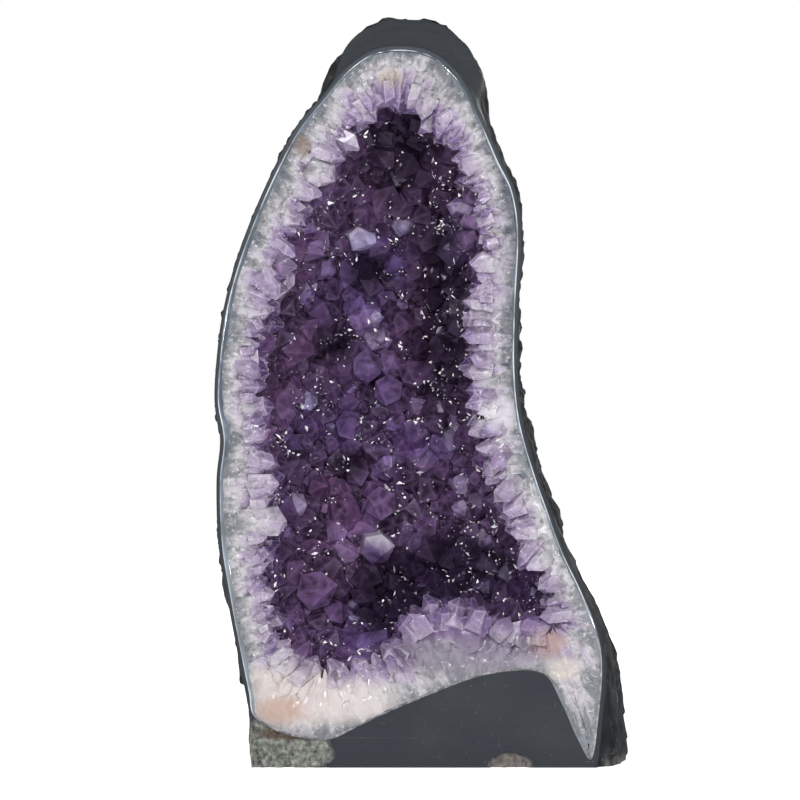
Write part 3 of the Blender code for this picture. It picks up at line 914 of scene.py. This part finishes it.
def break_face(work):
    """Cuts a fine grid into the flat sawn face of the rock and sinks its broken patches."""
    plane = FRONT + ROCK_FACE * MM
    faces = [f for f in work.faces if all(abs(v.co.y - plane) < 1e-5 for v in f.verts)]
    geom = faces + list(dict.fromkeys(e for f in faces for e in f.edges))
    geom += list(dict.fromkeys(v for f in faces for v in f.verts))
    across, up = Vector((1, 0, 0)), Vector((0, 0, 1))
    grid = 1.2
    for normal, low, high in ((across, -93 + SHIFT, -36 + SHIFT), (across, 31 + SHIFT, 57 + SHIFT),
                              (up, 0.7, 30)):
        for at in np.arange(low, high, grid):
            geom = bmesh.ops.bisect_plane(work, geom=geom, dist=1e-6, plane_co=normal * (at * MM),
                                          plane_no=normal)["geom"]
    work.normal_update()
    inner = [v for v in geom if isinstance(v, bmesh.types.BMVert)
             and all(f.normal.y < -0.99 or f.normal.z < -0.99 for f in v.link_faces)]
    for v in inner:
        sunk = 0.0
        for x, z, wide, high, deep, soft in (*BROKEN_CORNER, BASE_CHIP):
            far = math.hypot((v.co.x / MM - SHIFT - x) / wide, (v.co.z / MM - z) / high)
            far += 0.3 * noise.noise(v.co / 0.005)
            sunk = max(sunk, deep * float(smoothstep(1 + soft, 1 - soft, far)))
        grain = 0.7 + 0.9 * noise.noise(v.co / 0.0042) + 0.6 * noise.noise(v.co / 0.0018)
        v.co.y += sunk * max(0.08, grain) * MM
    many = [f for f in geom if isinstance(f, bmesh.types.BMFace) and len(f.verts) > 3]
    bmesh.ops.triangulate(work, faces=many)
    work.normal_update()
    for facet in (f for v in inner for f in v.link_faces):
        facet.smooth = False


def agate_fields(outer):
    """How strongly the painted highlight line shows at each point of the agate's polished edge, and
    its wear.
    """
    side = outward(outer)
    x, z = outer[:, 0], outer[:, 1]
    shine = smoothstep(0.5, 0.8, np.abs(side[:, 0])) * smoothstep(325, 312, z)
    shine *= 1 - 0.75 * smoothstep(70, 50, z) * smoothstep(86, 80, x) * (x > 0)
    shine *= 1 - 0.4 * smoothstep(190, 160, z) * (x < 0)
    shine = np.maximum(shine, smoothstep(16, 8, np.abs(x + 3)) * (z > 340))
    shine *= [0.66 + 0.9 * noise.noise(Vector((a / 16, b / 16, 1)))
              + 0.55 * noise.noise(Vector((a / 4, b / 4, 5))) for a, b in outer[:, :2]]
    worn = smoothstep(0.2, 0.7, -side[:, 1]) * smoothstep(70, 55, z) * 0.85
    return np.clip(shine, 0, 1), np.maximum(worn, 0.7 * smoothstep(76, 56, z) * (x > 80))


def quartz_border():
    """The quartz's outer edge, laid unevenly over the agate."""
    outer = evenly(QUARTZ_RIM, 900)
    side = outward(outer)
    cover = np.array([1.5 + 1.3 * noise.noise(Vector((x / 30, z / 30, 4)))
                      + 0.7 * noise.noise(Vector((x / 7, z / 7, 9))) for x, z in outer])
    ragged = np.array([noise.noise(Vector((x / 3, z / 3, 2))) for x, z in outer])
    cover += (2.4 + 0.8 * ragged - cover) * smoothstep(0.15, 0.6, -side[:, 1])
    thin = np.maximum(smoothstep(285, 320, outer[:, 1]),
                      smoothstep(15, 35, outer[:, 0]) * smoothstep(0.2, 0.5, side[:, 0]))
    cover += (2.35 + 0.7 * ragged - cover) * thin * 0.9
    return outer + side * np.clip(cover, 0.3, 2.9)[:, None]


def quartz_shape(draw):
    """The quartz as a closed hoop, with the values that its finish reads."""
    outer = quartz_border()
    inner = facing(outer, MOUTH_CURVE)[:, :2]
    run = np.concatenate([[0], np.cumsum(np.linalg.norm(
        np.diff((outer + inner) / 2, axis=0), axis=1))])
    length = run[-1] + 1
    tooth = teeth(int(length) + 1, draw, (4.0, 8.5), (1.5, 7.5))
    tip = np.interp(run, np.arange(len(tooth)), tooth)
    width = np.linalg.norm(inner - outer, axis=1)
    inward = (inner - outer) / np.maximum(width, 1e-6)[:, None]
    crest = inner + inward * (tip - 2.5)[:, None]
    width = np.linalg.norm(crest - outer, axis=1)

    turn, shares = len(outer), np.linspace(0, 1, 34)
    along = np.tile(run, len(shares))
    across = (shares[:, None] * width[None, :]).reshape(-1)
    number, seam, beside, beyond, count = columns(along, across, length, draw)
    tilt = np.array([(draw.uniform(-0.4, 0.4), draw.uniform(-0.10, 0.2), draw.uniform(-0.9, 1.0),
                      draw.random()) for _ in range(count)])
    share = np.repeat(shares, turn)
    calm = 1 - smoothstep(58, 66, outer[:, 0]) * smoothstep(62, 54, outer[:, 1])
    calm *= 1 - 0.55 * smoothstep(56, 40, outer[:, 1]) * smoothstep(0, -20, outer[:, 0])
    calm = np.tile(calm, len(shares))
    free = smoothstep(0.18, 0.62, share) * calm
    slope = 3.6 * smoothstep(0.40, 1.05, share) * calm
    relief = tilt[number, 0] * beside + tilt[number, 1] * beyond + tilt[number, 2]
    depth = np.maximum(0.0, slope + relief * free + 0.4 * free)
    depth += (0.25 * free) * np.exp(-(seam / 0.05) ** 2)

    rings = []
    for k, t in enumerate(shares):
        rings.append(placed(outer + (crest - outer) * t, depth[k * turn:(k + 1) * turn] + 0.08))
    for step, ease in ((2.0, 0.15), (5.0, 0.5), (10.0, 0.9), (18.0, 1.2), (30.0, 1.3)):
        base = inner - inward * (2.5 + 2 * ease)
        rings.append(placed(crest + (base - crest) * min(1, ease), depth[-turn:] + step))
    rings.append(placed(outer, 34.0))
    hidden = (len(rings) - len(shares)) * turn
    inset = 1 - free * (1 - smoothstep(0.0, 0.25, seam))
    fan_out = np.stack([along / 2.0, across / 8.0, np.zeros(len(along))], axis=1)
    fields = {"grow": np.concatenate([share, np.ones(hidden)]),
              "tone": np.concatenate([tilt[number, 3], np.full(hidden, 0.5)]),
              "inset": np.concatenate([inset, np.ones(hidden)]),
              "fan": np.concatenate([fan_out, np.zeros((hidden, 3))])}
    return np.array(rings).reshape(-1, 3), hoop_faces(len(rings), turn), fields


class GeodeLook(bpy.types.PropertyGroup):
    """The colours of the geode's layers."""

    rock: bpy.props.FloatVectorProperty(
        name="Rock", description="Ground basalt of the shell", subtype="COLOR",
        default=(0.034, 0.039, 0.047), min=0, max=1)
    agate: bpy.props.FloatVectorProperty(
        name="Agate", description="Polished band round the rim", subtype="COLOR",
        default=(0.085, 0.105, 0.13), min=0, max=1)
    quartz: bpy.props.FloatVectorProperty(
        name="Quartz", description="Middle of the sawn quartz columns", subtype="COLOR",
        default=(0.345, 0.295, 0.385), min=0, max=1)
    amethyst: bpy.props.FloatVectorProperty(
        name="Amethyst", description="Body of the purple crystals", subtype="COLOR",
        default=(0.094, 0.046, 0.122), min=0, max=1)


class GeodeSizes(bpy.types.PropertyGroup):
    """The sizes of the crystals that line the hollow."""

    head_spacing: bpy.props.FloatProperty(
        name="Head spacing", description="Least distance between two large crystals",
        default=0.0122, min=0.004, max=0.03, unit="LENGTH")
    head_radius: bpy.props.FloatProperty(
        name="Head radius", description="Radius of the largest crystals of the druse",
        default=0.0118, min=0.002, max=0.02, unit="LENGTH")
    filler_spacing: bpy.props.FloatProperty(
        name="Filler spacing", description="Least distance between two small crystals",
        default=0.0052, min=0.002, max=0.02, unit="LENGTH")
    spark_spacing: bpy.props.FloatProperty(
        name="Spark spacing", description="Least distance between the tiny crystals on the heads",
        default=0.0022, min=0.001, max=0.02, unit="LENGTH")
    seed: bpy.props.IntProperty(
        name="Seed", description="Another seed grows another druse", default=4, min=0)


def bed_curve():
    return grown(evenly(MOUTH_CURVE, TURN), BED_GAP)


def bed_mesh(name, from_depth):
    """The bed's surface, facing into the hollow, from a depth to its pole."""
    curve = bed_curve()
    rings = [placed(curve, from_depth)]
    for angle in angles(44):
        shape, back = section(curve, angle)
        if back * HOLLOW_DEPTH > from_depth + 1:
            rings.append(placed(shape, back * HOLLOW_DEPTH))
    places = np.array(rings).reshape(-1, 3).tolist() + [pole_at(HOLLOW_DEPTH)]
    faces = ring_faces(len(rings), TURN)[:, ::-1].tolist()
    faces += fan((len(rings) - 1) * TURN, TURN, len(places) - 1, inward=True)
    mesh = bpy.data.meshes.new(name)
    mesh.from_pydata(places, [], faces)
    return mesh


def lining_shape():
    """The druse's bed as a closed cup with an inner and an outer wall."""
    walls = []
    for curve, deep in ((bed_curve(), HOLLOW_DEPTH), (grown(bed_curve(), 3.0), LINING_DEPTH)):
        walls.append([placed(curve, 8.0)] + [r for r in bowl_rings(curve, deep, 30)
                                             if r[0, 1] > FRONT + 9 * MM])
    rings = walls[0][::-1] + walls[1]
    places = np.array(rings).reshape(-1, 3).tolist() + [pole_at(HOLLOW_DEPTH), pole_at(LINING_DEPTH)]
    faces = ring_faces(len(rings), TURN).tolist()
    faces += fan(0, TURN, len(places) - 2, inward=True)
    faces += fan((len(rings) - 1) * TURN, TURN, len(places) - 1)
    return places, faces


def ribbon(name, outside, front, back):
    """A strip round the mouth, facing inward, so far outside it and between two depths."""
    count = 400
    curve = grown(evenly(MOUTH_CURVE, count), outside)
    places = np.array([placed(curve, front), placed(curve, back)])
    mesh = bpy.data.meshes.new(name)
    mesh.from_pydata(places.reshape(-1, 3).tolist(), [], ring_faces(2, count)[:, ::-1].tolist())
    return mesh


# Name, place in metres, power in watts and size in metres of each lamp
LAMPS = [
    ("key", (-0.6, -1.2, 1.2), 7, 0.35), ("fill", (1.0, -1.1, 0.5), 2.0, 0.6),
    ("left_edge", (-1.1, 0.2, 0.6), 0.7, 0.4), ("right_edge", (1.1, 0.2, 0.7), 0.5, 0.4),
    ("back", (0.4, 1.5, 0.5), 7.0, 0.3), ("glint_high", (0.25, -1.5, 0.75), 2.4, 0.05),
    ("glint_left", (-0.45, -1.3, 0.30), 1.8, 0.05), ("glint_right", (0.6, -1.2, 0.12), 1.6, 0.05),
    ("glint_top", (-0.15, -0.9, 1.0), 1.8, 0.05), ("glint_low", (0.1, -1.4, 0.05), 1.2, 0.05),
]


def pale_floor():
    finish = Finish("pale_floor", 0.8)
    finish.fixed(Base_Color=(0.90, 0.90, 0.90, 1), Emission_Color=(1, 1, 1, 1),
                 Emission_Strength=0.56)
    mesh = bpy.data.meshes.new("floor")
    mesh.from_pydata([(-6, -6, 0), (6, -6, 0), (6, 6, 0), (-6, 6, 0)], [], [(0, 1, 2, 3)])
    mesh.materials.append(finish.made)
    return shown("floor", mesh)


def studio_world():
    """White all round: bright to the camera, softer as light on surfaces, faint in reflections."""
    world = bpy.data.worlds.new("studio")
    world.use_nodes = True
    tree = world.node_tree
    ray = node_in(tree, "ShaderNodeLightPath")
    strength = None
    for kind, share in (("Is Camera Ray", 0.92), ("Is Diffuse Ray", 0.50)):
        step = node_in(tree, "ShaderNodeMath", {0: (ray, kind)}, operation="MULTIPLY_ADD")
        step.inputs[1].default_value = share
        if strength:
            tree.links.new(strength, step.inputs[2])
        else:
            step.inputs[2].default_value = 0.08
        strength = step.outputs[0]
    background = tree.nodes["Background"]
    background.inputs["Color"].default_value = (1, 1, 1, 1)
    tree.links.new(strength, background.inputs["Strength"])
    return world


def lamp(name, place, power, size):
    """A square lamp that points at the middle of the geode."""
    light = bpy.data.lights.new(name, "AREA")
    light.energy, light.size = power, size
    made = bpy.data.objects.new(name, light)
    made.location = place
    aim = Vector((0, 0, TOP / 2)) - Vector(place)
    made.rotation_euler = aim.to_track_quat("-Z", "Y").to_euler()
    return made


def front_camera():
    """A camera level with the geode's middle that looks straight at the sawn face."""
    lens = bpy.data.cameras.new("camera")
    away, wide = 1.3, 0.4
    lens.lens = lens.sensor_width * away / wide
    made = bpy.data.objects.new("camera", lens)
    made.location = ((-11.5 + SHIFT) * MM, FRONT - away, 0.184)
    made.rotation_euler = (math.pi / 2, 0, 0)
    return made


class GEODE_OT_stage(bpy.types.Operator):
    """Add the floor, the studio lights and the camera"""

    bl_idname = "geode.stage"
    bl_label = "Stage"

    def execute(self, context):
        scene = context.scene
        pale_floor()
        scene.world = studio_world()
        scene.view_settings.view_transform = "Standard"
        for facts in LAMPS:
            scene.collection.objects.link(lamp(*facts))
        scene.camera = front_camera()
        scene.collection.objects.link(scene.camera)
        return {"FINISHED"}


class GEODE_OT_host_rock(bpy.types.Operator):
    """Build the dark rock shell with its ground edge, rough back and flat base"""

    bl_idname = "geode.host_rock"
    bl_label = "Host rock"

    def execute(self, context):
        spots, faces, raw = rock_shape()
        piece = new_piece("rock_shell", spots, faces, {"raw": raw})
        work = bmesh.new()
        work.from_mesh(piece.data)
        cut_off(work, (0, 0, 0), (0, 0, -1))
        break_face(work)
        for facet in work.faces:
            if abs(facet.normal.y) > 0.999 or abs(facet.normal.z) > 0.999:
                facet.smooth = False
        work.to_mesh(piece.data)
        work.free()
        put_on(piece, rock_finish(context.scene.geode_look), "basalt", "host_rock")
        return {"FINISHED"}


class GEODE_OT_agate_band(bpy.types.Operator):
    """Build the thin polished agate band round the rim, with its foot"""

    bl_idname = "geode.agate_band"
    bl_label = "Agate band"

    def execute(self, context):
        outer, inner = RIM, QUARTZ_RIM
        # Share of the way inward, depth in millimetres, and how far the painted highlight line shows
        # there
        profile = [(-0.10, 3.4, 0), (-0.08, 1.3, 0), (-0.05, 0.75, 0.1), (0.01, 0.42, 1),
                   (0.09, 0.27, 0.5), (0.20, 0.22, 0), (0.60, 0.22, 0), (1.1, 0.26, 0),
                   (1.15, 9.0, 0), (0.3, 12.0, 0), (-0.1, 9.0, 0)]
        rings = [placed(outer[:, :2] + (inner[:, :2] - outer[:, :2]) * share, depth)
                 for share, depth, _ in profile]
        across = np.repeat([max(0, min(1, share)) for share, _, _ in profile], len(outer))
        lit, worn = agate_fields(outer)
        line = np.array([bright for _, _, bright in profile])
        piece = new_piece("agate_rim", np.array(rings).reshape(-1, 3),
                          hoop_faces(len(rings), len(outer)),
                          {"across": across, "shine": (line[:, None] * lit[None, :]).reshape(-1),
                           "worn": np.tile(worn, len(rings))})
        put_on(piece, agate_finish(context.scene.geode_look), "agate", "agate_band")
        return {"FINISHED"}


class GEODE_OT_quartz_rim(bpy.types.Operator):
    """Build the sawn quartz columns between the agate and the hollow"""

    bl_idname = "geode.quartz_rim"
    bl_label = "Quartz rim"

    def execute(self, context):
        places, faces, fields = quartz_shape(random.Random(21))
        piece = new_piece("quartz_columns", places, faces, fields, smooth=False)
        put_on(piece, quartz_finish(context.scene.geode_look), "quartz", "quartz_layer")
        return {"FINISHED"}


class GEODE_OT_druse(bpy.types.Operator):
    """Line the hollow with its bed and grow the crystals of all sizes on it"""

    bl_idname = "geode.druse"
    bl_label = "Amethyst druse"

    def execute(self, context):
        look, sizes = context.scene.geode_look, context.scene.geode_sizes
        purple, sparkle = amethyst_finish("amethyst_crystal", look, 0.5), spark_finish()
        lilac = quartz_finish(look, "lilac_crystal", 0.46, 0.34, 0.35)

        bed = bed_mesh("hollow_bed", 17)
        kinds = crystal_kinds("head", 3, (0.55, 1.05), (0.38, 0.70), 0.42, 0.14, 10)
        heads = grow_on("druse_heads", bed, growth_tree("grow_heads", kinds, purple),
                        spacing=sizes.head_spacing, smallest=sizes.head_radius * 0.6,
                        largest=sizes.head_radius, lean=0.38, sink=0.003, seed=sizes.seed)
        kinds = crystal_kinds("blunt", 9, (0.8, 1.4), (0.45, 0.85), 0.4, 0.16, 8)
        fillers = grow_on("druse_fillers", bed, growth_tree("grow_fillers", kinds, purple),
                          spacing=sizes.filler_spacing, smallest=0.0016, largest=0.0042,
                          lean=0.5, sink=0.0012, seed=sizes.seed + 1)
        tree = growth_tree("grow_sparks", flake_kinds("flake", 12, 8), sparkle, (0.51, 0.60))
        sparks = grow_on("druse_sparks", heads.data, tree, spacing=sizes.spark_spacing,
                         smallest=0.00035, largest=0.0015, lean=0.9, sink=-0.0002,
                         seed=sizes.seed + 2)
        wall = ribbon("mouth_wall", 5.0, 3.0, 26.0)
        kinds = crystal_kinds("slim", 5, (1.4, 2.8), (0.7, 1.25), 0.35, 0.14, 8)
        rim = grow_on("rim_points", wall, growth_tree("grow_rim", kinds, lilac), spacing=0.0043,
                      smallest=0.0019, largest=0.0058, lean=0.48, sink=0.002, seed=sizes.seed + 3)
        for piece in (heads, fillers, rim):
            sawn_flush(piece)
        for mesh in (bed, wall):
            bpy.data.meshes.remove(mesh)

        places, faces = lining_shape()
        lining = new_piece("druse_bed", places, faces, {"grow": np.zeros(len(places)),
                                                        "tone": np.full(len(places), 0.15)})
        # The bed, deepest in the hollow, takes the full painted shade of the dark places
        put_on(lining, amethyst_finish("amethyst_bed", look, 1.0), "druse", "amethyst_druse")
        put_on(heads, purple, "druse")
        put_on(fillers, purple, "druse")
        put_on(sparks, sparkle, "druse")
        put_on(rim, lilac, "quartz")
        return {"FINISHED"}


# Single crystals: x, z, radius and length in millimetres, aim, tone, and depth or None
CLOUDY = [
    (-25, 107, 9.0, 19, (0.1, -1, -0.12), 0.9, None),
]
PALE_TEETH = [
    (-93, 123, 8.0, 25, (1, -0.10, 0.02), 0.3, 6),
    (-57, 301, 7.0, 15, (0.8, -0.10, -0.45), 0.25, 5),
    (33, 305, 5.5, 16, (-1, -0.10, -0.35), 0.6, 5),
    (36, 252, 6.0, 13, (-0.9, -0.35, 0.1), 0.5, 5),
    (62, 66, 5.0, 11, (-0.4, -0.8, 0.5), 0.5, 9),
    (67, 59, 5.0, 11, (-0.2, -0.9, 0.4), 0.4, 8),
    (55, 66, 6.0, 13, (-0.2, -0.7, 0.7), 0.9, 10),
    (75, 50, 4.0, 8, (0.1, -1, 0.2), 0.2, 6),
]
# Paler crystals, and at tones near 1, painted glints
PALE_AND_GLINTING = [
    (-59, 84, 11, 22, (0.25, -1, 0.1), 0.80, None),
    (-57, 43, 7.0, 14, (0.1, -0.9, 0.35), 0.88, 15),
    (-29, 223, 3.8, 15, (0.55, -1, 0.55), 1.0, None),
    (28.5, 123, 5.6, 17, (-0.7, -0.7, 0.3), 1.0, None),
    (22, 279, 4.8, 12, (-0.8, -0.6, 0.35), 1.0, 13),
    (24, 266, 5.0, 12, (-0.6, -0.7, -0.35), 1.0, 12),
    (27, 272, 3.2, 10, (-0.8, -0.6, 0.3), 0.97, 9),
    (-23, 146, 4.2, 15, (0.55, -0.9, 0.55), 0.99, None),
    (40, 106, 4.4, 14, (-0.6, -0.7, 0.4), 1.0, None),
    (-71, 161, 5.0, 16, (1, -0.6, 0.1), 0.86, None),
    (-30, 200, 9.5, 20, (0.1, -1, 0.15), 0.86, None),
    (-18, 188, 9.0, 20, (0.0, -1, 0.1), 0.82, None),
    (-22, 128, 9.0, 19, (0.0, -1, 0.1), 0.84, None),
    (-37, 316, 7.5, 17, (0.3, -1, -0.2), 0.55, None),
]


class GEODE_OT_showpieces(bpy.types.Operator):
    """Add the single crystals that stand out: the cloudy one, the pale teeth and the bright ones,
    the palest of them painted glints
    """

    bl_idname = "geode.showpieces"
    bl_label = "Single crystals"

    def execute(self, context):
        look = context.scene.geode_look
        bed = bed_mesh("single_bed", 10)
        cloudy = lone_crystals("cloudy_crystal", bed, CLOUDY)
        put_on(cloudy, cloudy_finish(99, 117), "amethyst")
        pale = lone_crystals("pale_teeth", bed, PALE_TEETH)
        sawn_flush(pale)
        put_on(pale, quartz_finish(look, "pale_tooth", 0.20, 0.52), "quartz")
        bright = lone_crystals("bright_crystals", bed, PALE_AND_GLINTING)
        put_on(bright, amethyst_finish("bright_amethyst", look, 0.0), "amethyst")
        bpy.data.meshes.remove(bed)
        return {"FINISHED"}


class GEODE_OT_points(bpy.types.Operator):
    """Finish the large points with slightly domed facets and growth zones"""

    bl_idname = "geode.points"
    bl_label = "Large points"

    def execute(self, context):
        draw = random.Random(8)
        names = sorted(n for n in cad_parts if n.startswith("amethyst_point"))
        work = bmesh.new()
        grow, tone = (work.verts.layers.float.new(key) for key in ("grow", "tone"))
        for name in names:
            one = bmesh.new()
            one.from_mesh(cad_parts[name].data)
            bmesh.ops.remove_doubles(one, verts=one.verts, dist=1e-6)
            bmesh.ops.dissolve_limit(one, angle_limit=0.02, verts=one.verts, edges=one.edges)
            centre = sum((v.co for v in one.verts), Vector()) / len(one.verts)
            tip = max(one.verts, key=lambda v: (v.co - centre).length)
            axis = (tip.co - centre).normalized()
            reach = [(v.co - centre).dot(axis) for v in one.verts]
            low, high = min(reach), max(reach)
            shade = draw.random()
            made = {}
            for v in one.verts:
                new = work.verts.new(v.co)
                new[grow] = ((v.co - centre).dot(axis) - low) / (high - low)
                new[tone] = shade
                made[v] = new
            for facet in one.faces:
                work.faces.new([made[v] for v in facet.verts])
            one.free()
        domed(work, 0.0003)
        piece = shown("large_points", mesh_of(work, "large_points"))
        finish = amethyst_finish("amethyst_point", context.scene.geode_look, 0.3)
        put_on(piece, finish, "amethyst", *names)
        return {"FINISHED"}


class GEODE_PT_panel(bpy.types.Panel):
    """The geode's pieces, sizes and colours"""

    bl_label = "Geode"
    bl_space_type = "VIEW_3D"
    bl_region_type = "UI"
    bl_category = "Geode"

    def draw(self, context):
        for step in STEPS:
            self.layout.operator(step.bl_idname)
        for group in (context.scene.geode_look, context.scene.geode_sizes):
            for key in group.__annotations__:
                self.layout.prop(group, key)


STEPS = (GEODE_OT_stage, GEODE_OT_host_rock, GEODE_OT_agate_band, GEODE_OT_quartz_rim,
         GEODE_OT_druse, GEODE_OT_points, GEODE_OT_showpieces)
CLASSES = (GeodeLook, GeodeSizes, *STEPS, GEODE_PT_panel)


def register():
    for item in CLASSES:
        bpy.utils.register_class(item)
    bpy.types.Scene.geode_look = bpy.props.PointerProperty(type=GeodeLook)
    bpy.types.Scene.geode_sizes = bpy.props.PointerProperty(type=GeodeSizes)


def unregister():
    del bpy.types.Scene.geode_sizes
    del bpy.types.Scene.geode_look
    for item in reversed(CLASSES):
        bpy.utils.unregister_class(item)


def main():
    register()
    for step in STEPS:
        group, name = step.bl_idname.split(".")
        getattr(getattr(bpy.ops, group), name)()


if __name__ == "__main__":
    main()
